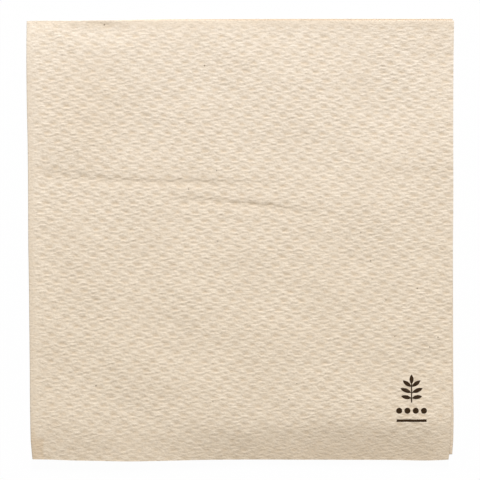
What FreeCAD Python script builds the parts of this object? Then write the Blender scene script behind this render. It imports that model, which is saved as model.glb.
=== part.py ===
"""A paper napkin, folded in four and lying flat.

One sheet of embossed tissue is folded down the middle, and the pair of leaves that this makes is folded in half
again. +X runs from the second fold to the free edges, +Y from the open hem to the first fold, and +Z is up. The
origin is the middle of the area that the napkin covers, on the surface that it lies on.
"""
import FreeCAD, Part
import math
import os
import Sketcher

NODE = "napkin"

# Every size that can be set by itself, in millimetres
SIZES = {
    # Folded outline
    "folded_width": 160.0,
    "folded_height": 165.0,
    # The tissue, and the air that stays inside each fold
    "tissue_thickness": 0.35,
    "pair_gap": 0.3,
    "middle_gap": 0.3,
    # How far the free edges miss each other
    "inner_leaf_step": 0.6,
    "upper_inset_at_fold": 0.3,
    "upper_inset_at_corner": 1.9,
    "lower_rise_start": 12.0,
    "lower_rise_at_corner": 1.9,
    # Embossing, in broad and fine rows pressed into both outer leaves
    "row_pitch": 3.28,
    "broad_row_width": 1.3,
    "broad_row_depth": 0.15,
    "fine_row_width": 0.7,
    "fine_row_depth": 0.07,
    "plain_strip_at_folds": 3.4,
    "plain_strip_at_hem": 1.6,
}

# Lengths that follow from the sizes, as the document's own expressions
PAIR_HALF = "(Sizes.tissue_thickness + Sizes.pair_gap / 2)"
PAIR_HEIGHT = f"(Sizes.middle_gap / 2 + {PAIR_HALF})"
STACK_HALF = f"(Sizes.middle_gap / 2 + 2 * {PAIR_HALF})"
EDGE = "(Sizes.folded_width / 2)"
HEM = "(Sizes.folded_height / 2)"

# How far a cutting outline runs past the paper
OVERSHOOT = 2.0

# The sketch's own origin and X axis, and the points of a line or an arc, by Sketcher's numbers
ORIGIN = (-1, 1)
X_AXIS = -1
START, END, CENTRE = 1, 2, 3


def make_size_sheet(doc):
    """Put every size in the document's spreadsheet, under its own name."""
    sheet = doc.addObject("Spreadsheet::Sheet", "Sizes")
    for row, (name, value) in enumerate(SIZES.items(), start=1):
        sheet.set(f"A{row}", name)
        sheet.set(f"B{row}", str(value))
        sheet.setAlias(f"B{row}", name)
    doc.recompute()


def datum(body, role):
    """One of the body's own origin planes or axes."""
    return next(item for item in body.Origin.OriginFeatures if item.Role == role)


def new_sketch(body, name, plane, distance=None):
    """An empty sketch on one of the body's planes, or at a distance from it."""
    sketch = body.newObject("Sketcher::SketchObject", name)
    sketch.AttachmentSupport = [(datum(body, plane), "")]
    sketch.MapMode = "FlatFace"
    if distance:
        sketch.setExpression("AttachmentOffset.Base.z", distance)
    return sketch


def line(start, end):
    """A straight edge between two points, each given as across and up."""
    return Part.LineSegment(FreeCAD.Vector(*start, 0), FreeCAD.Vector(*end, 0))


def circle(centre, radius):
    """A circle in the sketch's plane."""
    return Part.Circle(FreeCAD.Vector(*centre, 0), FreeCAD.Vector(0, 0, 1), radius)


def arc(centre, radius, first_degrees, last_degrees):
    """An arc drawn anticlockwise between two angles."""
    return Part.ArcOfCircle(circle(centre, radius), math.radians(first_degrees), math.radians(last_degrees))


def constrain(sketch, kind, *places):
    """Add one geometric constraint."""
    sketch.addConstraint(Sketcher.Constraint(kind, *places))


def dimension(sketch, name, kind, places, size):
    """Add one named dimension and bind it to an expression."""
    number = sketch.addConstraint(Sketcher.Constraint(kind, *places, 1.0))
    sketch.renameConstraint(number, name)
    sketch.setExpression(f"Constraints.{name}", size)


def place_point(sketch, name, where, across, up):
    """Fix a point at its distances from the sketch's origin."""
    dimension(sketch, f"{name}_across", "DistanceX", (*ORIGIN, *where), across)
    dimension(sketch, f"{name}_up", "DistanceY", (*ORIGIN, *where), up)


def draw_pair_section(body):
    """The section across the first fold: two leaves joined by a round bend, and open at the hem.

    The outline goes out along the face of the outer leaf, round the bend, back under the inner leaf, and returns
    through the air between the two.
    """
    air = SIZES["pair_gap"] / 2
    half = air + SIZES["tissue_thickness"]
    height = SIZES["middle_gap"] / 2 + half
    hem = -SIZES["folded_height"] / 2
    inner_hem = hem + SIZES["inner_leaf_step"]
    bend = -hem - half

    sketch = new_sketch(body, "pair_section", "YZ_Plane", EDGE)
    face, outer_bend, back, inner_end, inner_lining, inner_bend, outer_lining, outer_end = sketch.addGeometry([
        line((hem, height + half), (bend, height + half)),
        arc((bend, height), half, -90, 90),
        line((bend, height - half), (inner_hem, height - half)),
        line((inner_hem, height - half), (inner_hem, height - air)),
        line((inner_hem, height - air), (bend, height - air)),
        arc((bend, height), air, -90, 90),
        line((bend, height + air), (hem, height + air)),
        line((hem, height + air), (hem, height + half)),
    ], False)
    constrain(sketch, "Tangent", face, END, outer_bend, END)
    constrain(sketch, "Tangent", outer_bend, START, back, START)
    constrain(sketch, "Coincident", back, END, inner_end, START)
    constrain(sketch, "Coincident", inner_end, END, inner_lining, START)
    constrain(sketch, "Tangent", inner_lining, END, inner_bend, START)
    constrain(sketch, "Tangent", inner_bend, END, outer_lining, START)
    constrain(sketch, "Coincident", outer_lining, END, outer_end, START)
    constrain(sketch, "Coincident", outer_end, END, face, START)
    constrain(sketch, "Coincident", outer_bend, CENTRE, inner_bend, CENTRE)
    constrain(sketch, "Horizontal", face)
    constrain(sketch, "Horizontal", back)
    constrain(sketch, "Horizontal", inner_lining)
    constrain(sketch, "Horizontal", outer_lining)
    constrain(sketch, "Vertical", inner_end)
    constrain(sketch, "Vertical", outer_end)
    place_point(sketch, "bend", (outer_bend, CENTRE), f"{HEM} - {PAIR_HALF}", PAIR_HEIGHT)
    dimension(sketch, "air", "Radius", (inner_bend,), "Sizes.pair_gap / 2")
    dimension(sketch, "tissue", "DistanceY", (outer_end, START, outer_end, END), "Sizes.tissue_thickness")
    dimension(sketch, "hem", "DistanceX", (face, START, *ORIGIN), HEM)
    dimension(sketch, "step", "DistanceX", (face, START, inner_end, START), "Sizes.inner_leaf_step")
    return sketch


def draw_fold_path(body):
    """The way of the pair's middle line round the second fold, from free edge to free edge."""
    height = SIZES["middle_gap"] / 2 + SIZES["tissue_thickness"] + SIZES["pair_gap"] / 2
    stack_half = 2 * height - SIZES["middle_gap"] / 2
    edge = SIZES["folded_width"] / 2

    sketch = new_sketch(body, "second_fold_path", "XZ_Plane")
    upper, bend, lower = sketch.addGeometry([
        line((edge, height), (stack_half - edge, height)),
        arc((stack_half - edge, 0), height, 90, 270),
        line((stack_half - edge, -height), (edge, -height)),
    ], False)
    constrain(sketch, "Tangent", upper, END, bend, START)
    constrain(sketch, "Tangent", bend, END, lower, START)
    constrain(sketch, "Horizontal", upper)
    constrain(sketch, "Horizontal", lower)
    constrain(sketch, "PointOnObject", bend, CENTRE, X_AXIS)
    dimension(sketch, "pair_height", "Radius", (bend,), PAIR_HEIGHT)
    dimension(sketch, "turn", "DistanceX", (bend, CENTRE, *ORIGIN), f"{EDGE} - {STACK_HALF}")
    dimension(sketch, "upper_edge", "DistanceX", (*ORIGIN, upper, START), EDGE)
    dimension(sketch, "lower_edge", "DistanceX", (*ORIGIN, lower, END), EDGE)
    return sketch


def fold_the_sheet(body):
    """Carry the pair's section round the second fold: four leaves in one unbroken sheet."""
    folded = body.newObject("PartDesign::AdditivePipe", "folded_sheet")
    folded.Profile = (draw_pair_section(body), [""])
    folded.Spine = (draw_fold_path(body), ["Edge1", "Edge2", "Edge3"])
    return folded


def press_row(body, kind, across):
    """Press one round groove into the top leaf and its like into the bottom leaf, as far as the strip beside the
    second fold."""
    width, depth = f"Sizes.{kind}_row_width", f"Sizes.{kind}_row_depth"
    radius = f"({width}^2 / 4 + {depth}^2) / (2 * {depth})"
    up = f"({STACK_HALF} - {depth} + {radius})"
    sketch = new_sketch(body, f"{kind}_row_outline", "YZ_Plane", f"{EDGE} + {OVERSHOOT}")
    for leaf, side in (("top", 1), ("bottom", -1)):
        groove = sketch.addGeometry(circle((1, side), 0.5), False)
        dimension(sketch, f"{leaf}_radius", "Radius", (groove,), radius)
        place_point(sketch, leaf, (groove, CENTRE), across, f"{side} * {up}")
    row = body.newObject("PartDesign::Pocket", f"{kind}_row")
    row.Profile = sketch
    row.setExpression("Length", f"Sizes.folded_width + {OVERSHOOT} - Sizes.plain_strip_at_folds")
    return row


def emboss_rows(body):
    """Repeat a broad row and a fine one, half a pitch apart, from the first fold down to the hem."""
    first = f"{HEM} - Sizes.plain_strip_at_folds"
    broad = press_row(body, "broad", first)
    fine = press_row(body, "fine", f"{first} - Sizes.row_pitch / 2")
    body.Document.recompute()

    rows = body.newObject("PartDesign::LinearPattern", "rows")
    rows.Originals = [broad, fine]
    rows.Direction = (datum(body, "Y_Axis"), [""])
    rows.Reversed = True
    rows.Mode = "Spacing"
    rows.setExpression("Offset", "Sizes.row_pitch")
    strips = "Sizes.plain_strip_at_folds + Sizes.plain_strip_at_hem + Sizes.row_pitch / 2"
    rows.setExpression("Occurrences", f"floor((Sizes.folded_height - ({strips})) / Sizes.row_pitch) + 1")
    body.Tip = rows
    return rows


def trim(body, name, corners, upwards):
    """Cut an outline out of the leaves above the middle gap, or out of those below it."""
    sketch = new_sketch(body, f"{name}_outline", "XY_Plane")
    turns = [2 * math.pi * k / len(corners) for k in range(len(corners))]
    rough = [(math.cos(turn), math.sin(turn)) for turn in turns]
    sides = sketch.addGeometry([line(*ends) for ends in zip(rough, rough[1:] + rough[:1])], False)
    for side, following in zip(sides, sides[1:] + sides[:1]):
        constrain(sketch, "Coincident", side, END, following, START)
    for number, (side, corner) in enumerate(zip(sides, corners), start=1):
        place_point(sketch, f"corner{number}", (side, START), *corner)
    cut = body.newObject("PartDesign::Pocket", name)
    cut.Profile = sketch
    cut.Type = "ThroughAll"
    cut.Reversed = upwards
    return cut


def trim_free_edges(body):
    """Leave the two pairs a little out of line, as a quick second fold does.

    The upper pair ends short of the lower one at the right, and more so towards the open corner. The lower pair's
    hem rises towards the same corner, so that both pairs show there as a small step.
    """
    past_edge, past_hem = f"{EDGE} + {OVERSHOOT}", f"{HEM} + {OVERSHOOT}"
    upper_top = f"{EDGE} - Sizes.upper_inset_at_fold"
    upper_corner = f"{EDGE} - Sizes.upper_inset_at_corner"
    rise_start = f"Sizes.lower_rise_start - {EDGE}"
    upper = trim(body, "upper_pair_edge", [
        (upper_top, past_hem),
        (upper_corner, f"-({past_hem})"),
        (past_edge, f"-({past_hem})"),
        (past_edge, past_hem),
    ], True)
    lower = trim(body, "lower_pair_hem", [
        (rise_start, f"-{HEM}"),
        (rise_start, f"-({past_hem})"),
        (past_edge, f"-({past_hem})"),
        (past_edge, f"Sizes.lower_rise_at_corner - {HEM}"),
    ], False)
    return [upper, lower]


def check_document(doc, body, cuts):
    """Stop unless every object is sound, each cut has removed paper, and the napkin is one piece."""
    for item in doc.Objects:
        if {"Invalid", "Error"} & set(item.State):
            raise RuntimeError(f"{item.Label} didn't build: {item.State}")
    for cut in cuts:
        if cut.Shape.Volume >= cut.BaseFeature.Shape.Volume:
            raise RuntimeError(f"{cut.Label} cuts nothing")
    if body.Shape.isNull() or not body.Shape.isValid() or len(body.Shape.Solids) != 1:
        raise RuntimeError(f"{body.Label} isn't one sound piece")


def main():
    doc = FreeCAD.newDocument("folded_napkin")
    make_size_sheet(doc)
    body = doc.addObject("PartDesign::Body", NODE)
    body.Label = NODE
    body.setExpression("Placement.Base.z", STACK_HALF)
    fold_the_sheet(body)
    rows = emboss_rows(body)
    trims = trim_free_edges(body)
    doc.recompute()
    check_document(doc, body, [rows, *trims])

    os.makedirs("parts", exist_ok=True)
    body.Shape.exportStep(f"parts/{NODE}.step")
    box = body.Shape.optimalBoundingBox()
    print(f"{NODE}: {box.XLength:.2f} x {box.YLength:.2f} x {box.ZLength:.2f} mm, {body.Shape.Volume:.0f} mm3,"
          f" {rows.Occurrences} rows on each outer leaf")


main()
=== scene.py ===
import math
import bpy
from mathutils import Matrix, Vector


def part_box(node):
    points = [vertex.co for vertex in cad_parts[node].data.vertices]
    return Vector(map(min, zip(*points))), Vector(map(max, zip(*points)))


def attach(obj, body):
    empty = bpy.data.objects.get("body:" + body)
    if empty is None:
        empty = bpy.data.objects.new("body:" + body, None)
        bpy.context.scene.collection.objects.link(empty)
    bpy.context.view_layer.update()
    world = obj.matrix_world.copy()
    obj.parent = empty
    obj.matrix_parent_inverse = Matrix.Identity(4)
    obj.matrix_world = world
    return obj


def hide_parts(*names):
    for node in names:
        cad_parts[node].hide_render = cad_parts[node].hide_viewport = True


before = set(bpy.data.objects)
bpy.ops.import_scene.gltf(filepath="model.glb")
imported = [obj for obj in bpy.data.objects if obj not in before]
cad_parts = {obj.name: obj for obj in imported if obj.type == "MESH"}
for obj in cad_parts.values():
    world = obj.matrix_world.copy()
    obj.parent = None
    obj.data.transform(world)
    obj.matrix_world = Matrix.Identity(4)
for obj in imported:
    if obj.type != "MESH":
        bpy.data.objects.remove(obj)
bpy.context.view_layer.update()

from types import SimpleNamespace

import bpy
import numpy as np
from bpy.props import FloatProperty, FloatVectorProperty, PointerProperty

# A paper napkin: one sheet of embossed tissue, folded in four and lying flat on a white table.
# +X runs from the second fold to the free edges, +Y from the open hem to the first fold, and +Z is up.
# The sheet is one closed surface, carried without a break round both folds, with its embossing in relief.

LOWEST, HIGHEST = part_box("napkin")
MM = 0.001

bl_info = {
    "name": "Folded tissue napkin",
    "version": (1, 0, 0),
    "blender": (4, 5, 0),
    "location": "3D View > Sidebar > Napkin",
    "description": "Makes a folded, embossed tissue napkin and the table that it lies on",
    "category": "Add Mesh",
}


def length(name, description, default):
    """A length in metres for a property group."""
    return FloatProperty(name=name, description=description, default=default, unit="LENGTH", precision=5)


def colour(name, description, default):
    """A colour in linear light for a property group."""
    return FloatVectorProperty(
        name=name, description=description, default=default, subtype="COLOR", size=3, min=0.0, max=1.0)


class NapkinSizes(bpy.types.PropertyGroup):
    """Sizes of the folded napkin."""

    folded_width: length(
        "Folded width", "From the second fold to the free edges", round(HIGHEST[0] - LOWEST[0], 4))
    folded_height: length(
        "Folded height", "From the open hem to the first fold", round(HIGHEST[1] - LOWEST[1], 4))
    tissue: length("Tissue thickness", "Two plies with their embossed bulk", 0.30 * MM)
    middle_height: length("Height in the middle", "Four loose leaves, well inside the edges", 3.1 * MM)
    second_fold_height: length("Height at the second fold", "Stack height at the left edge", 3.4 * MM)
    free_edge_height: length("Height at the free edges", "Stack height at the right edge", 3.1 * MM)
    hem_slope_length: length("Length of the hem's slope", "How far from the hem the stack sinks", 13.5 * MM)


class EmbossingSizes(bpy.types.PropertyGroup):
    """Sizes of the pressed pattern."""

    pitch: length("Row pitch", "From one row of pads to the next, down the napkin", 3.2877 * MM)
    period: length("Pad spacing", "From one pad to the next like it, along a row", 6.4104 * MM)
    row_shift: FloatProperty(
        name="Row shift", description="Sideways step of each row, as a share of the spacing",
        default=0.3774, subtype="FACTOR")
    row_lean: FloatProperty(
        name="Row lean", description="Turn of the rows against the hem", default=0.0047, subtype="ANGLE")
    depth: length("Depth", "From the highest pad to the deepest hollow", 0.140 * MM)


class TissueFinish(bpy.types.PropertyGroup):
    """Colours of the unbleached tissue and its print, and the light and shade painted into it."""

    paper: colour("Paper", "Unbleached tissue on the raised pads", (0.852, 0.732, 0.580))
    # Painted light: the paper paler and bluer towards the first fold, on the lamp's side.
    painted_light_paper: colour("Pale paper", "The same tissue where its pulp is a little whiter", (0.850, 0.740, 0.610))
    # The hollow colour paints shade in the hollows and along creases, grooves, folds and the hem band, and it is
    # also the browner tone of the pulp, fibres and cloud.
    hollow: colour("Hollow", "Pressed tissue between the pads", (0.716, 0.562, 0.392))
    # Painted shade: tiny shadows between the fibres.
    painted_fibre_shade: colour("Pit", "Small pits between the fibres", (0.670, 0.570, 0.452))
    fleck: colour("Fleck", "Small bits of brown fibre", (0.43, 0.29, 0.16))
    speck: colour("Speck", "The few dark specks", (0.17, 0.115, 0.07))
    ink: colour("Ink", "Dark brown print", (0.031, 0.014, 0.003))


class TableLight(bpy.types.PropertyGroup):
    """Camera and light over the table."""

    view_width: length("Width in view", "Length across the picture at the napkin", 179.2 * MM)
    camera_height: length("Camera height", "Camera above the table", 1.2)
    lamp_power: FloatProperty(
        name="Lamp power", description="Power of the soft lamp beyond the first fold", default=39.3, unit="POWER")
    sky: FloatProperty(
        name="Sky", description="Strength of the even light from all round", default=0.24, subtype="FACTOR")


# The soft lamp beyond the first fold: its place and its two sides in metres, and its colour. Then the sky's colour.
LAMP_PLACE = (0.08, 1.42, 0.94)
LAMP_SIDES = (0.20, 0.55)
LAMP_COLOUR = (0.95, 1.0, 1.08)
SKY_COLOUR = (1.16, 1.0, 0.75)
# The camera's place from the middle of the napkin, in metres. Its height is a property.
CAMERA_OFFSET = (-0.00007, 0.0, 0.0025)
TABLE_HALF_SIDE, TABLE_LEVEL = 1.5, -0.00002

# Outline of the folded napkin, as offsets from the plain rectangle: shares of the side, then millimetres.
# The left edge, from the hem to the first fold.
LEFT_EDGE = (
    (0.0, 0.008, 0.03, 0.1, 0.21, 0.31, 0.42, 0.48, 0.61, 0.72, 0.82, 0.93, 1.0),
    (2.4, 2.04, 1.87, 1.58, 1.46, 1.28, 1.1, 0.92, 0.82, 0.66, 0.3, 0.14, 0.2))
# The free edges at the right, of the upper pair and of the lower pair.
UPPER_RIGHT_EDGE = (
    (0.0, 0.012, 0.03, 0.07, 0.14, 0.23, 0.32, 0.45, 0.59, 0.72, 0.89, 1.0),
    (-2.2, -1.95, -1.7, -1.48, -1.22, -1.18, -1.12, -0.72, -0.48, -0.52, -0.42, -0.22))
LOWER_RIGHT_EDGE = (
    (0.0, 0.02, 0.08, 0.15, 0.3, 0.45, 0.6, 0.8, 1.0),
    (-0.68, -0.42, -0.16, -0.28, -0.38, -0.42, -0.45, -0.62, -0.6))
# The folded edges at the top, from left to right.
UPPER_TOP_EDGE = (
    (0.0, 0.03, 0.1, 0.18, 0.3, 0.45, 0.7, 1.0),
    (-0.6, -0.52, -0.56, -0.46, -0.45, -0.55, -0.58, -0.6))
LOWER_TOP_EDGE = (
    (0.0, 0.08, 0.16, 0.22, 0.3, 0.45, 0.6, 0.8, 1.0),
    (-1.6, -1.1, -0.55, -0.25, 0.02, 0.08, 0.15, 0.18, 0.17))
# The hems at the bottom, from left to right.
UPPER_HEM = (
    (0.0, 0.02, 0.08, 0.15, 0.22, 0.31, 0.4, 0.51, 0.67, 0.86, 0.965, 1.0),
    (0.62, 0.6, 0.24, 0.04, -0.16, 0.05, 0.35, 0.47, 0.4, 0.32, 0.2, 0.5))
LOWER_HEM = (
    (0.0, 0.1, 0.3, 0.6, 0.85, 1.0),
    (1.2, 0.9, 1.1, 1.4, 1.8, 2.35))

# How far the inner leaf ends short of the outer one, in millimetres: mean, unevenness, wavelength and seed.
INNER_LEAF_INSET = (0.12, 0.06, 40.0, 21)
INNER_HEM_INSET = (0.3, 0.12, 45.0, 22)

# How far the stack sinks at the first fold, from left to right: shares, then millimetres.
SINK_AT_FIRST_FOLD = (
    (0.0, 0.03, 0.08, 0.14, 0.22, 0.32, 0.44, 0.55, 0.67, 0.79, 0.89, 1.0),
    (1.58, 1.68, 1.4, 0.82, 0.62, 0.46, 0.4, 0.28, 0.25, 0.18, 0.05, 0.1))
# The bead that stands along the first fold.
BEAD_AT_FIRST_FOLD = (
    (0.0, 0.05, 0.12, 0.22, 0.4, 0.6, 0.85, 1.0),
    (0.0, 0.02, 0.12, 0.14, 0.07, 0.08, 0.12, 0.06))
BEAD_WIDTH = 2.1
# Distances over which the stack reaches its full height, in millimetres.
REACH_OF_FIRST_FOLD, REACH_OF_SECOND_FOLD, REACH_OF_FREE_EDGES = 8.0, 3.5, 4.0
# Where the stack rolls over to the first fold: middle and half width as shares, then start and end in millimetres.
ROLL_AT_FIRST_FOLD = (0.18, 0.07, 1.5, 11.0)
# The second fold is lower in its upper part: drop in millimetres, then the shares between which it sinks.
SECOND_FOLD_DROP = (0.45, 0.5, 0.85)
# Slope of the stack towards the hem: at the left, its growth and the shares between which it grows.
HEM_SLOPE = (0.04, 0.094, 0.15, 0.6)
HEM_BEND = 1.6
# Room that the four leaves keep where they are pressed, and how softly the stack gets there, in millimetres.
PRESSED_ROOM, PRESSED_EASE = 0.04, 0.12
# The gap between the pairs, as a share of the gap inside each pair.
GAP_BETWEEN_PAIRS = 0.6

# Creases across the top leaf, in millimetres: places along X, then at each place the bottom's Y, the depth, and the
# width of the side towards the first fold and of the side towards the hem.
CREASES = (
    ((-80.0, -73.0, -58.3, -39.6, -24.7, -9.4, 7.4, 20.0),
     (24.7, 24.3, 23.0, 21.85, 21.6, 21.25, 21.0, 20.8),
     (0.13, 0.14, 0.17, 0.195, 0.21, 0.17, 0.1, 0.0),
     (3.2, 3.0, 1.7, 1.1, 1.05, 1.3, 1.6, 1.8),
     (2.2, 2.2, 2.2, 2.2, 2.2, 2.2, 2.4, 2.6)),
    ((-26.0, -18.7, -12.4, 0.0, 11.1, 22.3, 33.5, 50.0),
     (15.0, 14.9, 14.6, 13.5, 12.65, 10.7, 9.0, 6.7),
     (0.0, 0.13, 0.18, 0.235, 0.235, 0.085, 0.05, 0.0),
     (1.7, 1.6, 1.4, 0.95, 0.85, 1.5, 2.2, 2.6),
     (2.4, 2.4, 2.3, 2.2, 2.2, 2.4, 2.6, 2.8)),
    ((46.0, 54.0, 62.0, 70.0, 78.0),
     (24.6, 25.0, 25.2, 25.2, 25.0),
     (0.0, 0.07, 0.1, 0.09, 0.03),
     (2.2, 2.0, 2.0, 2.0, 2.2),
     (2.6, 2.6, 2.6, 2.6, 2.6)),
)
# Waves of the top leaf along the free edges, from the hem to the first fold: shares, then millimetres.
FREE_EDGE_WAVES = (
    (0.0, 0.138, 0.23, 0.294, 0.488, 0.579, 0.742, 1.0),
    (0.35, 0.28, -0.2, 0.14, -0.08, 0.34, 0.12, 0.0))
FREE_EDGE_WAVES_START, FREE_EDGE_WAVES_FULL = 56.0, 70.0
# Loose waves and fine crepe of the top leaf: height and wavelength in millimetres, seed and number of waves.
LEAF_WAVES = ((0.075, 34.0, 11, 14), (0.022, 11.0, 12, 14), (0.0075, 1.9, 13, 60))
# Places where the top leaf leans a little, in millimetres: middle, radius, and slope up towards the first fold.
LEANING_SPOTS = (
    (52.5, -15.5, 7.0, 0.04), (39.0, -4.5, 5.0, 0.025), (52.0, 1.0, 4.5, 0.025), (23.4, -55.3, 4.5, -0.025),
    (-25.5, 60.5, 4.5, 0.03), (63.8, 11.9, 4.5, 0.025), (-46.0, -78.5, 4.0, -0.03),
)
# Short scratches in the top leaf, in millimetres: start, end, width, height (below nothing for a groove).
SCRATCHES = (
    ((-62.8, 33.2), (-53.8, 26.6), 0.5, -0.09),
    ((-54.6, 29.7), (-48.2, 25.8), 0.5, -0.075),
    ((-14.2, 69.8), (-2.4, 77.0), 0.6, 0.04),
    ((-17.2, 69.2), (-7.6, 75.0), 0.6, -0.03),
    ((-58.5, 81.6), (-46.0, 79.7), 1.0, -0.12),
)

# The pads of one repeat: share along the spacing, share down the row, and rise in thousandths of a millimetre.
PADS = ((0.117, 0.073, 40.3), (0.611, 0.328, 48.2), (0.207, 0.602, 68.6), (0.474, 0.861, 97.5))
DEEP_HOLLOW = (0.798, 0.806, -60.7)
PAD_HALF_LENGTH, PAD_HALF_HEIGHT, PAD_LEVEL_SHARE = 0.345, 0.256, 0.45
# How uneven the pads are: share, wavelength in millimetres, first seed and number of waves.
PAD_UNEVENNESS = ((0.17, 4.5, 30, 14), (0.11, 2.3, 40, 24))
# Lowest and highest relief, and the relief that stands for the whole depth, in thousandths of a millimetre.
RELIEF_LIMITS, RELIEF_SPAN = (-85.0, 130.0), 157.0
# How far the pattern drifts off its lattice, in millimetres, and how much of the pads' flanks is bump.
LATTICE_DRIFT, PAD_CRISPNESS = 0.13, 0.48
# Fine ripples between the pads: waves in a row, waves in a spacing, height in tenths of a millimetre, and phase.
RIPPLES = ((3, 0, 0.041, -2.2), (1, 0, 0.043, -0.62), (2, 0, 0.017, -0.83), (3, -1, 0.023, -2.3),
           (3, 1, 0.014, -3.18), (4, 0, 0.023, -0.68), (0, 1, 0.085, 1.7), (1, -1, 0.06, 1.3))
REPEAT_ORIGIN = (0.668, 0.88)

# What the material reads at each point: depth of the relief, which also sets the painted shade in the hollows,
# strength of the embossing, painted shade as a browner tint, and the leaf that carries the print.
LOOKS = ("relief", "embossed", "painted_shade", "print_side")
# Relief that the material reads on smooth tissue, and how much less in the strip along the second fold. It sets the
# painted shade of the hollows there.
SMOOTH_RELIEF, SMOOTH_STRIP_RELIEF = 0.6, 0.11
# Pressed folds are blunt: the power of the sine and cosine in their section.
FIRST_FOLD_BLUNTNESS, SECOND_FOLD_BLUNTNESS = 0.2, 0.28
# The lower pair's first fold is a little thicker at its end than behind it, by this share.
FOLD_SWELL = 0.36
# A square patch at the corner by the hem, pressed down: middle, half width and upper end in millimetres, and slope.
CORNER_DENT = (-76.0, 2.65, -72.6, 0.046)
CORNER_DENT_EDGE, CORNER_DENT_RISE = 0.35, 2.8

# Spans of the coarse grid: across a leaf, up a leaf, and round the second fold.
LEAF_COLUMNS, LEAF_ROWS, FOLD_STEPS = 25, 25, 10
# Places of the coarse rows round the first fold, in degrees.
FIRST_FOLD_STEPS = (20.0, 29.0, 45.0, 67.5, 90.0, 112.5, 135.0, 151.0, 160.0)
# Points of the fine grids on the two outer leaves, up and across. They stop short of the folds by these shares.
TOP_LEAF_GRID, UNDER_LEAF_GRID = (403, 201), (121, 76)
INSET_UP, INSET_ACROSS = 0.0016, 0.0024

# A browner cloud in the tissue, in metres from the middle.
BROWNER_SPOT = (-0.058, 0.05)
# Dark bits of fibre in the top leaf, in millimetres from the middle: across, up, and radius.
SPECKS = (
    (-50.7, 80.4, 0.26), (-13.3, 65.1, 0.27), (-53.8, -54.4, 0.25), (48.7, -7.8, 0.22), (66.1, -18.1, 0.21),
    (45.0, 2.8, 0.17), (49.2, -14.6, 0.18), (54.4, -22.4, 0.17), (73.8, -36.3, 0.25), (70.7, -39.9, 0.19),
    (57.7, -36.1, 0.17), (-8.8, 25.9, 0.18), (-19.3, 19.0, 0.2), (-8.4, -0.4, 0.18), (21.1, -53.6, 0.15),
    (18.2, -59.5, 0.18), (-10.2, -60.3, 0.16),
)

# The printed sprig, in millimetres: where each leaf starts and ends, and the middle of the whole motif.
MOTIF_MIDDLE = (63.95, -55.4)
SPRIG_LEAVES = (
    ((0.0, 1.6), (0.0, 5.2)),
    ((0.1, 0.6), (3.3, 3.0)), ((-0.1, 0.6), (-3.3, 3.0)),
    ((0.1, -1.6), (4.2, 0.1)), ((-0.1, -1.6), (-4.2, 0.1)),
    ((0.1, -3.6), (3.9, -2.9)), ((-0.1, -3.6), (-3.9, -2.9)),
)
LEAF_HALF_WIDTH = 0.78
STEM = ((0.0, -5.3), (0.0, 2.0), 0.26)
DOTS = ((-4.6, -8.3), (-1.55, -8.3), (1.55, -8.3), (4.6, -8.3))
DOT_RADIUS = 1.15
BAR = ((-5.6, -12.0), (5.6, -12.0), 0.5)


def smooth_line(share, line):
    """Offset in metres at each share or place: a cubic between stations, with slopes from the neighbours."""
    stations, offsets = (np.asarray(part, float) for part in line)
    slopes = np.gradient(offsets, stations)
    share = np.clip(share, stations[0], stations[-1])
    left = np.clip(np.searchsorted(stations, share, side="right") - 1, 0, len(stations) - 2)
    step = stations[left + 1] - stations[left]
    t = (share - stations[left]) / step
    return ((2 * t**3 - 3 * t**2 + 1) * offsets[left] + (t**3 - 2 * t**2 + t) * step * slopes[left]
            + (3 * t**2 - 2 * t**3) * offsets[left + 1] + (t**3 - t**2) * step * slopes[left + 1]) * MM


def wander(x, y, wavelength, seed, waves=14):
    """A gentle random surface: a sum of cosines of about one wavelength in seeded directions, about 1 high."""
    draws = np.random.default_rng(seed)
    total = np.zeros(np.broadcast(x, y).shape)
    for _ in range(waves):
        turn = draws.uniform(0.0, 2.0 * math.pi)
        size = 2.0 * math.pi / (wavelength * draws.uniform(0.7, 1.5))
        total += np.cos(size * (x * math.cos(turn) + y * math.sin(turn)) + draws.uniform(0.0, 2.0 * math.pi))
    return total * math.sqrt(2.0 / waves)


def smooth_step(value, start, end):
    """Nothing up to start, 1 past end, and a smooth rise between."""
    t = np.clip((value - start) / (end - start), 0.0, 1.0)
    return t * t * (3.0 - 2.0 * t)


def level_bump(distance, half_size, level_share):
    """A bump's profile: level out to a share of its half size, then half a cosine down to nothing."""
    t = np.clip((np.abs(distance) / half_size - level_share) / (1.0 - level_share), 0.0, 1.0)
    return 0.5 + 0.5 * np.cos(math.pi * t)


def blunt_sine(angle, power):
    """Sine made blunt: its size to a power below 1, so that a bend is flat above and steep at its end."""
    return np.sign(np.sin(angle)) * np.abs(np.sin(angle))**power


def blunt_cosine(angle, power):
    """Cosine made blunt in the same way."""
    return np.sign(np.cos(angle)) * np.abs(np.cos(angle))**power


def repeat_places(x, y, sizes):
    """Where points lie in the pattern: repeats along a row, and rows down the napkin, a little wavy."""
    x = x + LATTICE_DRIFT * MM * wander(x, y, 22 * MM, 3)
    y = y + 0.5 * LATTICE_DRIFT * MM * wander(x, y, 18 * MM, 4)
    row = REPEAT_ORIGIN[1] - y / sizes.pitch - x * sizes.row_lean / sizes.pitch
    return REPEAT_ORIGIN[0] + x / sizes.period + sizes.row_shift * (row - REPEAT_ORIGIN[1]), row


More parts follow.
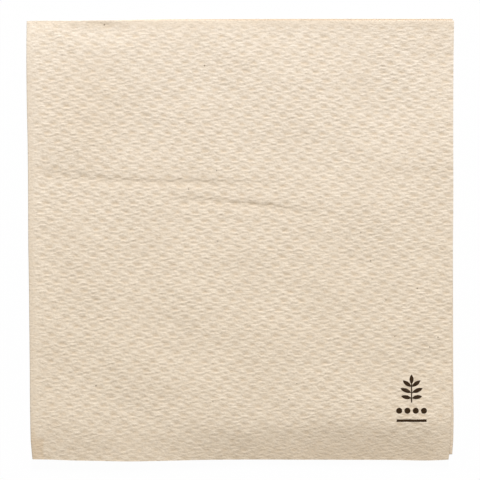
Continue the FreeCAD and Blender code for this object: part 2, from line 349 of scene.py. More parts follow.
def embossing(x, y, along, row, sizes):
    """Relief of the pressed pattern: pads above the tissue's mean face and hollows below it.

    One repeat holds four pads, each a short flat bar with soft ends, and one deep hollow. Each row of repeats is
    shifted along by a share of the spacing.
    """
    relief = np.zeros(x.shape)
    for number, (centre_along, centre_down, rise) in enumerate(PADS + (DEEP_HOLLOW,)):
        off_along = (along - centre_along + 0.5) % 1.0 - 0.5
        off_down = (row - centre_down + 0.5) % 1.0 - 0.5
        uneven = 1.0 + sum(share * wander(x, y, wavelength * MM, seed + number, waves)
                           for share, wavelength, seed, waves in PAD_UNEVENNESS)
        relief += rise * uneven * (level_bump(off_along, PAD_HALF_LENGTH, PAD_LEVEL_SHARE)
                                   * level_bump(off_down, PAD_HALF_HEIGHT, 0.0))
    return np.clip(relief, *RELIEF_LIMITS) / RELIEF_SPAN * sizes.depth


def crease(x, y, places, bottoms, depths, upper_widths, lower_widths):
    """A valley that runs across the leaf: a bell across it, narrower on the side towards the first fold."""
    bottom, depth, upper, lower = (
        smooth_line(x / MM, (places, values)) for values in (bottoms, depths, upper_widths, lower_widths))
    bottom = bottom + 0.10 * MM * np.sin(x / (2.1 * MM)) * np.cos(x / (5.3 * MM))
    return -depth * np.exp(-((y - bottom) / np.where(y > bottom, upper, lower))**2)


def scratch(x, y, start, end, width, height):
    """A ridge or groove along a line: a bell across it, fading out at both ends."""
    ax, ay, bx, by = (value * MM for value in start + end)
    span = math.hypot(bx - ax, by - ay)
    ux, uy = (bx - ax) / span, (by - ay) / span
    along = ((x - ax) * ux + (y - ay) * uy) / span
    across = (y - ay) * ux - (x - ax) * uy + 0.2 * MM * np.sin(along * 5.0)
    fade = smooth_step(along, -0.05, 0.15) * (1.0 - smooth_step(along, 0.70, 1.05))
    return height * MM * np.exp(-(across / (width * MM))**2) * fade


def leaning_spot(x, y, spot_x, spot_y, radius, slope):
    """A spot that leans: level, a smooth rise through its middle, and level again, fading out to both sides."""
    across, up = (x / MM - spot_x) / radius, (y / MM - spot_y) / radius
    return slope * radius * MM * np.tanh(up) * np.exp(-0.5 * across**2 - 0.03 * up**2)


def corner_patch(x, y):
    """Share and depth of the patch at the corner, which slopes down to the hem and has soft sides."""
    middle, half_width, upper_end, slope = CORNER_DENT
    sides = 1.0 - smooth_step(np.abs(x - middle * MM), (half_width - CORNER_DENT_EDGE) * MM,
                              (half_width + CORNER_DENT_EDGE) * MM)
    inside = np.maximum(upper_end * MM - y, 0.0)
    return sides * smooth_step(inside, 0.0, CORNER_DENT_RISE * MM), sides * slope * inside


def top_leaf_lift(x, y, sizes):
    """Creases, scratches, leaning spots, corner dent, loose waves and fine crepe of the top leaf."""
    lift = sum(height * MM * wander(x, y, wavelength * MM, seed, waves)
               for height, wavelength, seed, waves in LEAF_WAVES)
    lift = lift - corner_patch(x, y)[1]
    near_free_edges = smooth_step(x, FREE_EDGE_WAVES_START * MM, FREE_EDGE_WAVES_FULL * MM)
    lift = lift + smooth_line(y / sizes.folded_height + 0.5, FREE_EDGE_WAVES) * near_free_edges
    for shape, table in ((crease, CREASES), (scratch, SCRATCHES), (leaning_spot, LEANING_SPOTS)):
        lift = lift + sum(shape(x, y, *line) for line in table)
    return lift


def stack_height(share_across, share_up, sizes):
    """Height of the stack of leaves: pressed low at the folds, loose in the middle and sinking to the hem.

    It is the middle's height less a fall at each edge. The falls die away as exponentials, and the hem's slope
    bends into the level part as the logarithm of 1 plus an exponential.
    """
    from_left = share_across * sizes.folded_width
    from_right = sizes.folded_width - from_left
    from_top = (1.0 - share_up) * sizes.folded_height
    from_hem = share_up * sizes.folded_height
    middle = sizes.middle_height

    near_top = np.exp(-from_top / (REACH_OF_FIRST_FOLD * MM))
    roll_middle, roll_width, roll_start, roll_end = ROLL_AT_FIRST_FOLD
    roll = np.exp(-((share_across - roll_middle) / roll_width)**2)
    fall = (1.0 - roll) * near_top + roll * (1.0 - smooth_step(from_top, roll_start * MM, roll_end * MM))
    height = middle - smooth_line(share_across, SINK_AT_FIRST_FOLD) * fall
    height = height + smooth_line(share_across, BEAD_AT_FIRST_FOLD) * np.exp(-(from_top / (BEAD_WIDTH * MM))**2)

    drop, drop_start, drop_end = SECOND_FOLD_DROP
    second_fold = sizes.second_fold_height - drop * MM * smooth_step(share_up, drop_start, drop_end)
    near_left = np.exp(-from_left / (REACH_OF_SECOND_FOLD * MM))
    near_right = np.exp(-from_right / (REACH_OF_FREE_EDGES * MM))
    height = height - (middle - second_fold) * near_left * (1.0 - near_top)
    height = height - (middle - sizes.free_edge_height) * near_right * (1.0 - near_top)

    slope_left, slope_growth, growth_start, growth_end = HEM_SLOPE
    slope = slope_left + slope_growth * smooth_step(share_across, growth_start, growth_end)
    slope = slope * (1.0 - 0.3 * smooth_step(share_across, 0.93, 1.0))
    reach = sizes.hem_slope_length * (0.80 + 0.20 * smooth_step(share_across, 0.15, 0.85))
    bend = HEM_BEND * MM
    height = height - slope * bend * np.log1p(np.exp((reach - from_hem) / bend))
    lowest, ease = 4.0 * sizes.tissue + PRESSED_ROOM * MM, PRESSED_EASE * MM
    return lowest + ease * np.log1p(np.exp((height - lowest) / ease))


def outline_at(upper, inner, across, up, sizes):
    """Left edge, right edge, first fold and hem at each point, for its pair and its leaf in the pair."""
    half_width, half_height = 0.5 * sizes.folded_width, 0.5 * sizes.folded_height
    lower = 1.0 - upper

    def inset(place, mean, unevenness, wavelength, seed):
        """How far the inner leaf ends short of the outer one."""
        return inner * (mean * MM + unevenness * MM * wander(place, 0.0 * place, wavelength * MM, seed))

    left = -half_width + smooth_line(up, LEFT_EDGE)
    right = half_width + upper * smooth_line(up, UPPER_RIGHT_EDGE) + lower * smooth_line(up, LOWER_RIGHT_EDGE)
    top = half_height + upper * smooth_line(across, UPPER_TOP_EDGE) + lower * smooth_line(across, LOWER_TOP_EDGE)
    hem = -half_height + upper * smooth_line(across, UPPER_HEM) + lower * smooth_line(across, LOWER_HEM)
    return (left, right - inset(up * half_height, *INNER_LEAF_INSET), top,
            hem + inset(across * half_width, *INNER_HEM_INSET))


def embossing_strength(x, y, across, up):
    """Share of the embossing's depth: less where the stack is pressed at its edges, and uneven."""
    edge_fade = smooth_step(across, 0.0, 0.010) * (1.0 - 0.8 * smooth_step(up, 0.975, 0.997))
    pressed_strip = (1.0 - smooth_step(across, 0.012, 0.040)) * (1.0 - 0.5 * smooth_step(up, 0.25, 0.36))
    pressed_hem = (0.35 + 0.30 * smooth_step(across, 0.2, 0.8)) * (1.0 - smooth_step(up, 0.035, 0.105))
    uneven = (1.0 - 0.18 * smooth_step(up, 0.85, 0.98) - 0.08 * (1.0 - smooth_step(up, 0.10, 0.30))
              + 0.08 * wander(x, y, 26 * MM, 17))
    return edge_fade * (1.0 - 0.15 * pressed_strip) * (1.0 - pressed_hem) * uneven


def painted_shade_share(x, y, across, up, upper, round_first, sizes):
    """Painted shade, as a browner tint: in the hem band where the stack sinks and in the corner dent, darker by the
    hem towards the left, along creases and scratches, and on the lower pair's first fold.
    """
    closeness = 1.0 - smooth_step(stack_height(across, up, sizes), 1.3 * MM, 2.7 * MM)
    # Painted shade in the hem band, where the stack sinks, and in the corner dent.
    share = 0.38 * closeness * smooth_step(0.3 - up, 0.0, 0.1) + upper * corner_patch(x, y)[0]
    # Painted shade by the hem, darker towards the left.
    share = share + 0.07 * (1.0 - smooth_step(up, 0.0, 0.08)) * smooth_step(0.6 - across, 0.0, 0.5)
    # Painted shade on the lower pair's first fold, so that its rounded end facing the lamp reads darker.
    share = share + 0.84 * (1.0 - upper) * round_first * smooth_step(across, 0.20, 0.45)
    # Painted shade along the creases, and below it in the grooves of the scratches.
    share = share - 1.35 / MM * upper * sum(crease(x, y, *line) for line in CREASES)
    grooves = sum(np.minimum(scratch(x, y, *line), 0.0) for line in SCRATCHES)
    return np.clip(share - 3.2 / MM * upper * grooves, 0.0, 1.0)


def place_sheet(phi, across, theta, up, outside, sizes, embossed):
    """Place points of the folded sheet, and give what the material reads there and their places in the pattern.

    phi goes from 0 on the upper pair of leaves to pi on the lower pair, round the second fold. theta goes from 0
    on a pair's outer leaf to pi on its inner leaf, round the first fold. across and up are shares of the way from
    the fold to the free edge and from the hem to the fold. A pair is bent round the first fold, and the pair is
    then carried round the second fold.
    """
    upper = 0.5 + 0.5 * np.cos(phi)
    inner = 0.5 - 0.5 * np.cos(theta)
    left, right, top, hem = outline_at(upper, inner, across, up, sizes)
    half_tissue = 0.5 * sizes.tissue

    def spacings(share_across, share_up):
        """Half the spacing inside a pair and half the spacing between the pairs, from the stack's height."""
        gap = (stack_height(share_across, share_up, sizes) - 4.0 * sizes.tissue) / (2.0 + GAP_BETWEEN_PAIRS)
        return half_tissue + 0.5 * gap, sizes.tissue + 0.5 * (1.0 + GAP_BETWEEN_PAIRS) * gap

    pair_at_top, _ = spacings(across, np.ones_like(up))
    pair_at_left, stack_at_left = spacings(np.zeros_like(across), up)
    pair, stack = spacings(across, up)
    centre_x = left + stack_at_left + pair_at_left + half_tissue
    centre_y = top - (pair_at_top + half_tissue)
    offset = pair + outside * half_tissue
    round_first = blunt_sine(theta, FIRST_FOLD_BLUNTNESS)
    swell = 1.0 + FOLD_SWELL * (1.0 - upper) * round_first * smooth_step(across, 0.25, 0.55)
    radius = stack + offset * blunt_cosine(theta, FIRST_FOLD_BLUNTNESS) * swell
    flat_x = centre_x + (right - centre_x) * across
    flat_y = hem + (centre_y - hem) * up
    x = flat_x - radius * blunt_sine(phi, SECOND_FOLD_BLUNTNESS)
    y = flat_y + offset * round_first
    z = stack + pair + half_tissue + radius * blunt_cosine(phi, SECOND_FOLD_BLUNTNESS)
    on_top_leaf = smooth_step(np.cos(phi), 0.0, 1.0) * smooth_step(np.cos(theta), 0.0, 1.0)
    z = z + on_top_leaf * top_leaf_lift(flat_x, flat_y, sizes) * smooth_step(across, 0.0, 0.03)

    strength = embossed * embossing_strength(flat_x, flat_y, across, up)
    pattern_x = np.where(np.cos(phi) > 0.0, flat_x, -sizes.folded_width - flat_x)
    along, row = repeat_places(pattern_x, flat_y, sizes)
    pressed = embossing(pattern_x, flat_y, along, row, sizes) * strength
    z = np.maximum(z + np.where(embossed > 0.0, pressed * np.sign(np.cos(phi)), 0.0), 0.0)
    # The relief also sets the painted shade in the hollows, with less of it in the strip along the second fold.
    smooth_strip = upper * (1.0 - smooth_step(across, 0.006, 0.032))
    relief = SMOOTH_RELIEF - SMOOTH_STRIP_RELIEF * smooth_strip - pressed / sizes.depth
    looks = {"relief": np.clip(relief, 0.0, 1.0), "embossed": strength,
             "painted_shade": painted_shade_share(flat_x, flat_y, across, up, upper, round_first, sizes)}
    return np.stack([x, y, z], axis=-1), looks, np.stack([along, row], axis=-1)


def zip_strip(left, left_share, right, right_share):
    """Triangles between two rows of points that run the same way, with left and right as seen from outside.

    Each step of a row is joined to the point of the other row that its middle has reached.
    """
    left_middle = 0.5 * (left_share[1:] + left_share[:-1])
    right_middle = 0.5 * (right_share[1:] + right_share[:-1])
    across = right[np.searchsorted(right_middle, left_middle, side="left")]
    back = left[np.searchsorted(left_middle, right_middle, side="right")]
    return np.concatenate([
        np.stack([left[:-1], across, left[1:]], axis=-1),
        np.stack([right[:-1], right[1:], back], axis=-1)])


def quad_faces(index, keep=slice(None)):
    """Faces of a grid of point numbers, wound to face outwards on the sheet's outer side."""
    faces = np.stack([index[:-1, :-1], index[1:, :-1], index[1:, 1:], index[:-1, 1:]], axis=-1)
    return faces[keep].reshape(-1, 4)


class SheetPoints:
    """The points of the sheet, gathered patch by patch."""

    def __init__(self, sizes):
        self.sizes = sizes
        self.places, self.looks, self.flat, self.repeats = [], [], [], []
        self.count = 0

    def add(self, phi, across, theta, up, outside, embossed=0.0, printed=0.0):
        """Place a grid of points, rows going up the sheet and columns across it, and return their numbers."""
        shape = (len(up), len(across))
        phi, across = (np.broadcast_to(part, shape) for part in (phi, across))
        theta, up = (np.broadcast_to(np.asarray(part)[:, None], shape) for part in (theta, up))
        places, looks, repeats = place_sheet(
            phi, across, theta, up, outside, self.sizes, embossed * np.ones(shape))
        self.places.append(places.reshape(-1, 3))
        looks["print_side"] = np.full(shape, printed)
        self.looks.append(np.stack([looks[name].reshape(-1) for name in LOOKS], axis=-1))
        self.repeats.append(repeats.reshape(-1, 2))
        flat_x = np.where(phi < 0.5 * math.pi, -across, across) * self.sizes.folded_width
        flat_x = flat_x + (phi / math.pi - 0.5) * MM
        flat_y = np.where(theta < 0.5 * math.pi, up - 1.0, 1.0 - up) * self.sizes.folded_height
        flat_y = flat_y + (theta / math.pi - 0.5) * MM
        self.flat.append(np.stack([flat_x, flat_y], axis=-1).reshape(-1, 2))
        numbers = np.arange(self.count, self.count + phi.size).reshape(shape)
        self.count += phi.size
        return numbers


def folded_sheet(sizes, embossing_sizes):
    """Points and faces of the whole closed sheet.

    A coarse grid covers both sides of the sheet and its folds. On the outer side the two outer leaves are cut out
    of it, and finer grids take their place and are zipped to it and to the rims.
    """
    all_sizes = SimpleNamespace(**{
        name: getattr(group, name) for group in (sizes, embossing_sizes) for name in group.__annotations__})
    outward, upward = np.linspace(0.0, 1.0, LEAF_COLUMNS + 1), np.linspace(0.0, 1.0, LEAF_ROWS + 1)
    round_second = np.arange(1, FOLD_STEPS) / FOLD_STEPS
    across = np.concatenate([outward[::-1], np.zeros(FOLD_STEPS - 1), outward])
    phi = math.pi * np.concatenate([np.zeros(LEAF_COLUMNS + 1), round_second, np.ones(LEAF_COLUMNS + 1)])
    round_first = np.array(FIRST_FOLD_STEPS) / 180.0
    up = np.concatenate([upward, np.ones(len(round_first)), upward[::-1]])
    theta = math.pi * np.concatenate([np.zeros(LEAF_ROWS + 1), round_first, np.ones(LEAF_ROWS + 1)])

    points = SheetPoints(all_sizes)
    outer = points.add(phi, across, theta, up, 1.0)
    inside = points.add(phi, across, theta, up, -1.0)
    row_shares = np.arange(len(up)) / (len(up) - 1.0)
    column_shares = np.arange(len(across)) / (len(across) - 1.0)
    fold_first, fold_last = LEAF_COLUMNS, LEAF_COLUMNS + FOLD_STEPS
    keep = np.ones((len(up) - 1, len(across) - 1), bool)
    keep[:LEAF_ROWS, :fold_first] = False
    keep[:LEAF_ROWS, fold_last:] = False

    def outer_leaf(grid, start, end, phi, *finish):
        """A fine grid on an outer leaf: its shares across and up, and its point numbers."""
        rows, columns = grid
        leaf_across, leaf_up = np.linspace(start, end, columns), np.linspace(0.0, 1.0 - INSET_UP, rows)
        return leaf_across, leaf_up, points.add(
            np.full(columns, phi), leaf_across, np.zeros(rows), leaf_up, 1.0, *finish)

    top_across, top_up, top_leaf = outer_leaf(TOP_LEAF_GRID, 1.0, INSET_ACROSS, 0.0, 1.0, 1.0)
    under_across, under_up, under_leaf = outer_leaf(UNDER_LEAF_GRID, INSET_ACROSS, 1.0, math.pi, 0.6)

    def rows_at(shares):
        """Shares along the coarse rows for points that go up a leaf."""
        return shares * LEAF_ROWS / (len(up) - 1.0)

    def columns_at(shares, start):
        """Shares along the coarse columns for points on a leaf that begins at a column."""
        return (start + shares * LEAF_COLUMNS) / (len(across) - 1.0)

    quads = [quad_faces(outer, keep), quad_faces(inside)[:, ::-1], quad_faces(top_leaf), quad_faces(under_leaf)]
    strips = [
        zip_strip(outer[:LEAF_ROWS + 1, fold_first], row_shares[:LEAF_ROWS + 1],
                  top_leaf[:, -1], rows_at(top_up)),
        zip_strip(under_leaf[:, 0], rows_at(under_up),
                  outer[:LEAF_ROWS + 1, fold_last], row_shares[:LEAF_ROWS + 1]),
        zip_strip(outer[LEAF_ROWS, fold_first::-1], upward, top_leaf[-1, ::-1], top_across[::-1]),
        zip_strip(outer[LEAF_ROWS, :fold_last - 1:-1], upward, under_leaf[-1, ::-1], 1.0 - under_across[::-1]),
    ]
    # Rims: the free edges of the upper and the lower pair, then both hems.
    upper_rim = np.concatenate([top_leaf[:, 0], outer[LEAF_ROWS:, 0]])
    upper_shares = np.concatenate([rows_at(top_up), row_shares[LEAF_ROWS:]])
    lower_rim = np.concatenate([under_leaf[:, -1], outer[LEAF_ROWS:, -1]])
    lower_shares = np.concatenate([rows_at(under_up), row_shares[LEAF_ROWS:]])
    outer_hem = np.concatenate([top_leaf[0], outer[0, fold_first:fold_last + 1], under_leaf[0]])
    hem_shares = np.concatenate([columns_at(1.0 - top_across, 0), column_shares[fold_first:fold_last + 1],
                                 columns_at(under_across, fold_last)])
    strips += [
        zip_strip(upper_rim, upper_shares, inside[:, 0], row_shares),
        zip_strip(inside[:, -1], row_shares, lower_rim, lower_shares),
        zip_strip(inside[0], column_shares, outer_hem, hem_shares),
        zip_strip(outer[-1], column_shares, inside[-1], column_shares),
    ]
    quads, triangles = np.concatenate(quads), np.concatenate(strips)
    used = np.zeros(points.count, bool)
    used[quads.ravel()] = True
    used[triangles.ravel()] = True
    renumber = np.cumsum(used) - 1
    gathered = [np.concatenate(part)[used] for part in (points.places, points.looks, points.flat, points.repeats)]
    return gathered, renumber[quads], renumber[triangles]


def mesh_of_sheet(name, gathered, quads, triangles):
    """A mesh with its looks as attributes, and two UV maps: the flat sheet in metres and the embossing's repeats."""
    places, looks, flat, repeats = gathered
    mesh = bpy.data.meshes.new(name)
    corners = np.concatenate([quads.ravel(), triangles.ravel()]).astype(np.int32)
    starts = np.concatenate([np.arange(len(quads)) * 4, len(quads) * 4 + np.arange(len(triangles)) * 3])
    mesh.vertices.add(len(places))
    mesh.vertices.foreach_set("co", places.astype(np.float32).ravel())
    mesh.loops.add(len(corners))
    mesh.loops.foreach_set("vertex_index", corners)
    mesh.polygons.add(len(starts))
    mesh.polygons.foreach_set("loop_start", starts.astype(np.int32))
    mesh.update(calc_edges=True)
    mesh.validate()
    mesh.polygons.foreach_set("use_smooth", np.ones(len(starts), bool))
    mesh.set_sharp_from_angle(angle=math.radians(55.0))
    for column, attribute in enumerate(LOOKS):
        values = np.ascontiguousarray(looks[:, column], np.float32)
        mesh.attributes.new(attribute, "FLOAT", "POINT").data.foreach_set("value", values)
    for uv_name, places_on_map in (("flat_sheet", flat), ("repeats", repeats)):
        uv_map = mesh.uv_layers.new(name=uv_name)
        uv_map.data.foreach_set("uv", places_on_map[corners].astype(np.float32).ravel())
    return mesh


class Wire:
    """A number on a shader socket. Arithmetic on it adds Math nodes."""

    def __init__(self, finish, socket):
        self.finish, self.socket = finish, socket

    def maths(self, operation, *others):
        """One Math node, with this number first."""
        return self.finish.node("Math", {"operation": operation}, dict(enumerate((self, *others))))

    def __add__(self, other):
        return self.maths("ADD", other)

    def __sub__(self, other):
        return self.maths("SUBTRACT", other)

    def __mul__(self, other):
        return self.maths("MULTIPLY", other)

    def __rsub__(self, other):
        return self.finish.node("Math", {"operation": "SUBTRACT"}, {0: other, 1: self})

    __radd__, __rmul__ = __add__, __mul__

    def off_centre(self, centre):
        """Distance from a centre that comes back in every repeat."""
        return ((self + (0.5 - centre)).maths("FRACT") - 0.5).maths("ABSOLUTE")

    def lower_of(self, other):
        """The lower of two numbers."""
        return self.maths("MINIMUM", other)

    def higher_of(self, other):
        """The higher of two numbers."""
        return self.maths("MAXIMUM", other)

    def step(self, start, end):
        """Nothing below start, 1 past end."""
        return self.finish.node("MapRange", {"interpolation_type": "SMOOTHSTEP", "clamp": True},
                                {"Value": self, "From Min": start, "From Max": end})


class Finish:
    """The nodes of a material or a world."""

    def __init__(self, tree, output_kind):
        self.tree = tree
        tree.nodes.clear()
        self.output = tree.nodes.new("ShaderNode" + output_kind)

    def node(self, kind, settings=None, inputs=None, output=0):
        """Add a shader node, with its settings, then a value or a link for each socket named."""
        added = self.tree.nodes.new("ShaderNode" + kind)
        for name, value in (settings or {}).items():
            setattr(added, name, value)
        for name, value in (inputs or {}).items():
            if isinstance(value, Wire):
                self.tree.links.new(value.socket, added.inputs[name])
            else:
                added.inputs[name].default_value = value
        return Wire(self, added.outputs[output])

    def blend(self, share, first, second):
        """Mix two colours."""
        colours = [value if isinstance(value, Wire) else (*value, 1.0) for value in (first, second)]
        return self.node("Mix", {"data_type": "RGBA", "clamp_factor": True},
                         {0: share, 6: colours[0], 7: colours[1]}, output=2)

    def noise(self, places, scale, detail=2.0, roughness=0.5):
        """A noise value from 0 to 1."""
        return self.node("TexNoise", {"noise_dimensions": "3D"},
                         {"Vector": places, "Scale": scale, "Detail": detail, "Roughness": roughness})

    def attribute(self, name):
        """A number stored on the mesh."""
        return self.node("Attribute", {"attribute_name": name}, {}, output=2)

    def part(self, vector, axis):
        """One part of a vector: 0 for X, 1 for Y, 2 for Z."""
        return self.node("SeparateXYZ", {}, {0: vector}, output=axis)

    def vector_maths(self, operation, *values):
        """Arithmetic on vectors."""
        return self.node("VectorMath", {"operation": operation}, dict(enumerate(values)))

    def distance(self, places, point):
        """Distance on the table from a point in millimetres."""
        return self.node("VectorMath", {"operation": "DISTANCE"}, {0: places, 1: (*point, 0.0)}, output=1)

    def show(self, shader):
        """Give the shader to the output."""
        self.tree.links.new(shader.socket, self.output.inputs["Surface"])


def new_material(name):
    """A material and its empty finish."""
    material = bpy.data.materials.new(name)
    material.use_nodes = True
    return material, Finish(material.node_tree, "OutputMaterial")


def middle_and_half(start, end):
    """Middle of a line and half its length."""
    middle = ((start[0] + end[0]) / 2.0, (start[1] + end[1]) / 2.0)
    return middle, math.dist(start, end) / 2.0


def sprig_leaf(finish, places, start, end):
    """How far inside a leaf a point is: inside both circles that cross at the leaf's ends."""
    middle, half = middle_and_half(start, end)
    radius = (half**2 + LEAF_HALF_WIDTH**2) / (2.0 * LEAF_HALF_WIDTH)
    side = ((start[1] - end[1]) / (2.0 * half) * (radius - LEAF_HALF_WIDTH),
            (end[0] - start[0]) / (2.0 * half) * (radius - LEAF_HALF_WIDTH))
    first = radius - finish.distance(places, (middle[0] + side[0], middle[1] + side[1]))
    second = radius - finish.distance(places, (middle[0] - side[0], middle[1] - side[1]))
    return first.lower_of(second)


def printed_bar(finish, places, start, end, half_width):
    """How far inside a straight bar with square ends a point is."""
    turn = math.atan2(end[1] - start[1], end[0] - start[0])
    middle, half_length = middle_and_half(start, end)
    shifted = finish.vector_maths("SUBTRACT", places, (*middle, 0.0))
    turned = finish.node("VectorRotate", {"rotation_type": "Z_AXIS"}, {"Vector": shifted, "Angle": -turn})
    sizes = finish.vector_maths("ABSOLUTE", turned)
    return (half_length - finish.part(sizes, 0)).lower_of(half_width - finish.part(sizes, 1))


def printed_motif(finish, on_table):
    """How far inside the sprig, its dots or its bar a point is, in millimetres."""
    motif = finish.vector_maths("SUBTRACT", on_table, (*MOTIF_MIDDLE, 0.0))
    shape = printed_bar(finish, motif, *STEM).higher_of(printed_bar(finish, motif, *BAR))
    for start, end in SPRIG_LEAVES:
        shape = shape.higher_of(sprig_leaf(finish, motif, start, end))
    for dot in DOTS:
        shape = shape.higher_of(DOT_RADIUS - finish.distance(motif, dot))
    return shape


def dark_specks(finish, on_table):
    """How far inside the nearest speck a point is, in millimetres."""
    dark = None
    for across, up, radius in SPECKS:
        spot = radius - finish.distance(on_table, (across, up))
        dark = spot if dark is None else dark.higher_of(spot)
    return dark


def fine_pattern(finish, places):
    """Height of crisp flanks on the pads and the hollow, and of the ripples, from the repeats' UV map."""
    repeats = finish.node("UVMap", {"uv_map": "repeats"})
    along, row = finish.part(repeats, 0), finish.part(repeats, 1)
    height = 0.0
    for centre_along, centre_down, rise in PADS + (DEEP_HOLLOW,):
        off_along, off_down = along.off_centre(centre_along), row.off_centre(centre_down)
        share = (1.0 - off_along.step(0.36 * PAD_HALF_LENGTH, 0.95 * PAD_HALF_LENGTH)) * (
            1.0 - off_down.step(0.12 * PAD_HALF_HEIGHT, 0.80 * PAD_HALF_HEIGHT))
        height = share * (rise / 100.0) + height
    patchy = finish.noise(places, 420.0, 2.0, 0.6) * 3.4 - 0.7
    height = height * patchy * PAD_CRISPNESS
    for in_row, in_spacing, size, phase in RIPPLES:
        turns = (row * in_row + along * in_spacing) * (2.0 * math.pi) + phase
        height = height + turns.maths("COSINE") * size
    return height * finish.attribute("embossed")


def tissue_material(colours):
    """Unbleached tissue: painted shade in the hollows, creases, grooves, folds and hem band, painted light towards
    the first fold, cloudy pulp, fibres, flecks, specks and the printed motif.
    """
    material, finish = new_material("unbleached tissue")
    places = finish.node("TexCoord", {}, {}, output=3)
    relief, print_side, painted_shade = (finish.attribute(name) for name in ("relief", "print_side", "painted_shade"))
    cloud = finish.noise(places, 75.0, 3.0, 0.55)
    pulp = finish.noise(places, 620.0, 3.0, 0.6)
    fibres, fuzz = (finish.noise(finish.vector_maths("MULTIPLY", places, (stretch, 1.0, 1.0)), scale, 2.0, 0.6)
                    for stretch, scale in ((0.35, 1500.0), (0.82, 1200.0)))

    # Painted light: paler paper towards the first fold, on the lamp's side.
    painted_light_share = (finish.part(places, 1) + (cloud - 0.5) * 0.05).step(-0.055, 0.085)
    base = finish.blend(painted_light_share, colours.paper, colours.painted_light_paper)
    browner_spot = 1.0 - finish.distance(places, BROWNER_SPOT).step(0.006, 0.026)
    # Browner tints: painted shade in the hollows of the relief and in the creases, grooves, folds and hem band;
    # random tone in the cloud, the browner spot, the pulp and the fibres.
    for share in (relief.step(0.25, 1.0) * 0.62, cloud.step(0.35, 0.75) * 0.10, painted_shade * 0.74,
                  browner_spot * 0.15, pulp.step(0.45, 0.80) * 0.38, fibres.step(0.52, 0.85) * 0.22):
        base = finish.blend(share, base, colours.hollow)
    # Painted shade between the fibres, in patches from the fuzz noise.
    base = finish.blend(fuzz.step(0.42, 0.72) * 0.60, base, colours.painted_fibre_shade)

    cell, picked = (finish.node("TexVoronoi", {"voronoi_dimensions": "3D", "feature": "F1"},
                                {"Vector": places, "Scale": 210.0}, output=output) for output in (0, 1))
    chance = finish.node("SeparateColor", {}, {0: picked}, output=0)
    fleck = (1.0 - cell.step(0.05, 0.11)) * chance.step(0.80, 0.97)
    base = finish.blend(fleck * 0.22, base, colours.fleck)
    on_table = finish.vector_maths("MULTIPLY", places, (1000.0, 1000.0, 0.0))
    speck = dark_specks(finish, on_table).step(-0.16, 0.14) * print_side
    base = finish.blend(speck * 0.85, base, colours.speck)
    ragged = printed_motif(finish, on_table) + (pulp - 0.5) * 0.22
    ink = ragged.step(-0.09, 0.11) * print_side * (0.995 - relief.step(0.55, 1.0) * 0.05)
    base = finish.blend(ink, base, colours.ink)

    grain = (fine_pattern(finish, places)
             + (fibres - 0.5) * 0.70 + (pulp - 0.5) * 0.85 + (fuzz - 0.5) * 1.40)
    bump = finish.node("Bump", {}, {"Strength": 1.0, "Distance": 0.1 * MM, "Height": grain})
    finish.show(finish.node("BsdfPrincipled", {}, {
        "Base Color": base, "Roughness": 0.93, "Specular IOR Level": 0.18, "Normal": bump}))
    return material


def white_for_the_camera(finish, seen, lit):
    """Show one shader to camera, glossy and transmitted rays, and another to the light that bounces."""
    rays = [finish.node("LightPath", {}, {}, output=name)
            for name in ("Is Camera Ray", "Is Glossy Ray", "Is Transmission Ray")]
    factor = rays[0].higher_of(rays[1]).higher_of(rays[2])
    return finish.node("MixShader", {}, {0: factor, 1: lit, 2: seen})


def table_material():
    """A white table that keeps a faint shadow."""
    material, finish = new_material("white table")
    places = finish.node("TexCoord", {}, {}, output=3)
    shade = finish.blend(finish.noise(places, 30.0), (0.80, 0.80, 0.80), (0.84, 0.84, 0.84))
    lit = finish.node("BsdfDiffuse", {}, {"Color": shade})
    white = finish.node("Emission", {}, {"Color": (1.0, 1.0, 1.0, 1.0), "Strength": 1.0})
    seen = finish.node("MixShader", {}, {0: 0.98, 1: lit, 2: white})
    finish.show(white_for_the_camera(finish, seen, lit))
    return material


class NAPKIN_OT_fold_sheet(bpy.types.Operator):
    """Make the folded sheet of embossed tissue"""

    bl_idname = "napkin.fold_sheet"
    bl_label = "Fold the napkin"

    def execute(self, context):
        scene = context.scene
        gathered, quads, triangles = folded_sheet(scene.napkin_sizes, scene.napkin_embossing)
        mesh = mesh_of_sheet("napkin_sheet", gathered, quads, triangles)
        if len(mesh.polygons) != len(quads) + len(triangles):
            raise RuntimeError("The folded sheet lost faces while it was put into its mesh")
        mesh.materials.append(tissue_material(scene.napkin_finish))
        sheet = bpy.data.objects.new("napkin_sheet", mesh)
        scene.collection.objects.link(sheet)
        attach(sheet, "root")
        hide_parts("napkin")
        return {"FINISHED"}


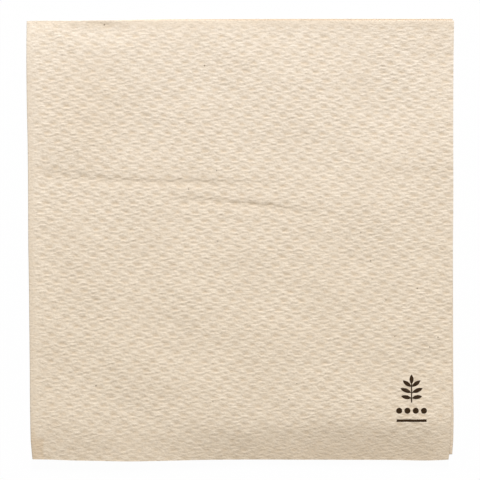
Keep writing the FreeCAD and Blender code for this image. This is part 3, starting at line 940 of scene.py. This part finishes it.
class NAPKIN_OT_set_table(bpy.types.Operator):
    """Lay out the white table, the camera and the light"""

    bl_idname = "napkin.set_table"
    bl_label = "Set the table and the light"

    def execute(self, context):
        scene = context.scene
        light = scene.napkin_light
        side = TABLE_HALF_SIDE
        corners = [(x, y, TABLE_LEVEL) for x, y in ((-side, -side), (side, -side), (side, side), (-side, side))]
        mesh = bpy.data.meshes.new("table_top")
        mesh.from_pydata(corners, [], [(0, 1, 2, 3)])
        mesh.materials.append(table_material())
        table = bpy.data.objects.new("table_top", mesh)
        scene.collection.objects.link(table)

        camera_data = bpy.data.cameras.new("camera_above")
        camera_data.type = "PERSP"
        camera_data.sensor_width = 36.0
        camera_data.lens = camera_data.sensor_width * light.camera_height / light.view_width
        camera_data.clip_start, camera_data.clip_end = 0.05, 20.0
        camera = bpy.data.objects.new("camera_above", camera_data)
        camera.location = CAMERA_OFFSET
        camera.location.z += light.camera_height
        scene.collection.objects.link(camera)
        bpy.context.scene.camera = camera

        lamp_data = bpy.data.lights.new("soft_lamp", "AREA")
        lamp_data.shape = "RECTANGLE"
        lamp_data.size, lamp_data.size_y = LAMP_SIDES
        lamp_data.energy = light.lamp_power
        lamp_data.color = LAMP_COLOUR
        lamp = bpy.data.objects.new("soft_lamp", lamp_data)
        lamp.location = LAMP_PLACE
        east, north, up = LAMP_PLACE
        lamp.rotation_euler = (-math.atan2(north, up), 0.0, -math.atan2(east, north))
        scene.collection.objects.link(lamp)

        world = bpy.data.worlds.new("even_light")
        world.use_nodes = True
        finish = Finish(world.node_tree, "OutputWorld")
        fill = finish.node("Background", {}, {"Color": (*SKY_COLOUR, 1.0), "Strength": light.sky})
        white = finish.node("Background", {}, {"Color": (1.0, 1.0, 1.0, 1.0)})
        finish.show(white_for_the_camera(finish, white, fill))
        scene.world = world
        scene.view_settings.view_transform = "Standard"
        return {"FINISHED"}


class NAPKIN_PT_sidebar(bpy.types.Panel):
    """Sizes, colours and steps of the napkin"""

    bl_idname = "NAPKIN_PT_sidebar"
    bl_label = "Folded napkin"
    bl_space_type = "VIEW_3D"
    bl_region_type = "UI"
    bl_category = "Napkin"

    def draw(self, context):
        layout = self.layout
        for group_name in GROUPS:
            group = getattr(context.scene, group_name)
            column = layout.column(align=True)
            for name in group.__annotations__:
                column.prop(group, name)
        for operator in OPERATORS:
            layout.operator(operator.bl_idname)


GROUPS = {
    "napkin_sizes": NapkinSizes,
    "napkin_embossing": EmbossingSizes,
    "napkin_finish": TissueFinish,
    "napkin_light": TableLight,
}
OPERATORS = (NAPKIN_OT_set_table, NAPKIN_OT_fold_sheet)
CLASSES = (*GROUPS.values(), *OPERATORS, NAPKIN_PT_sidebar)


def register():
    for one in CLASSES:
        bpy.utils.register_class(one)
    for name, group in GROUPS.items():
        setattr(bpy.types.Scene, name, PointerProperty(type=group))


def unregister():
    for name in GROUPS:
        delattr(bpy.types.Scene, name)
    for one in reversed(CLASSES):
        bpy.utils.unregister_class(one)


def main():
    """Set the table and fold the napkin."""
    register()
    bpy.ops.napkin.set_table()
    bpy.ops.napkin.fold_sheet()


if __name__ == "__main__":
    main()
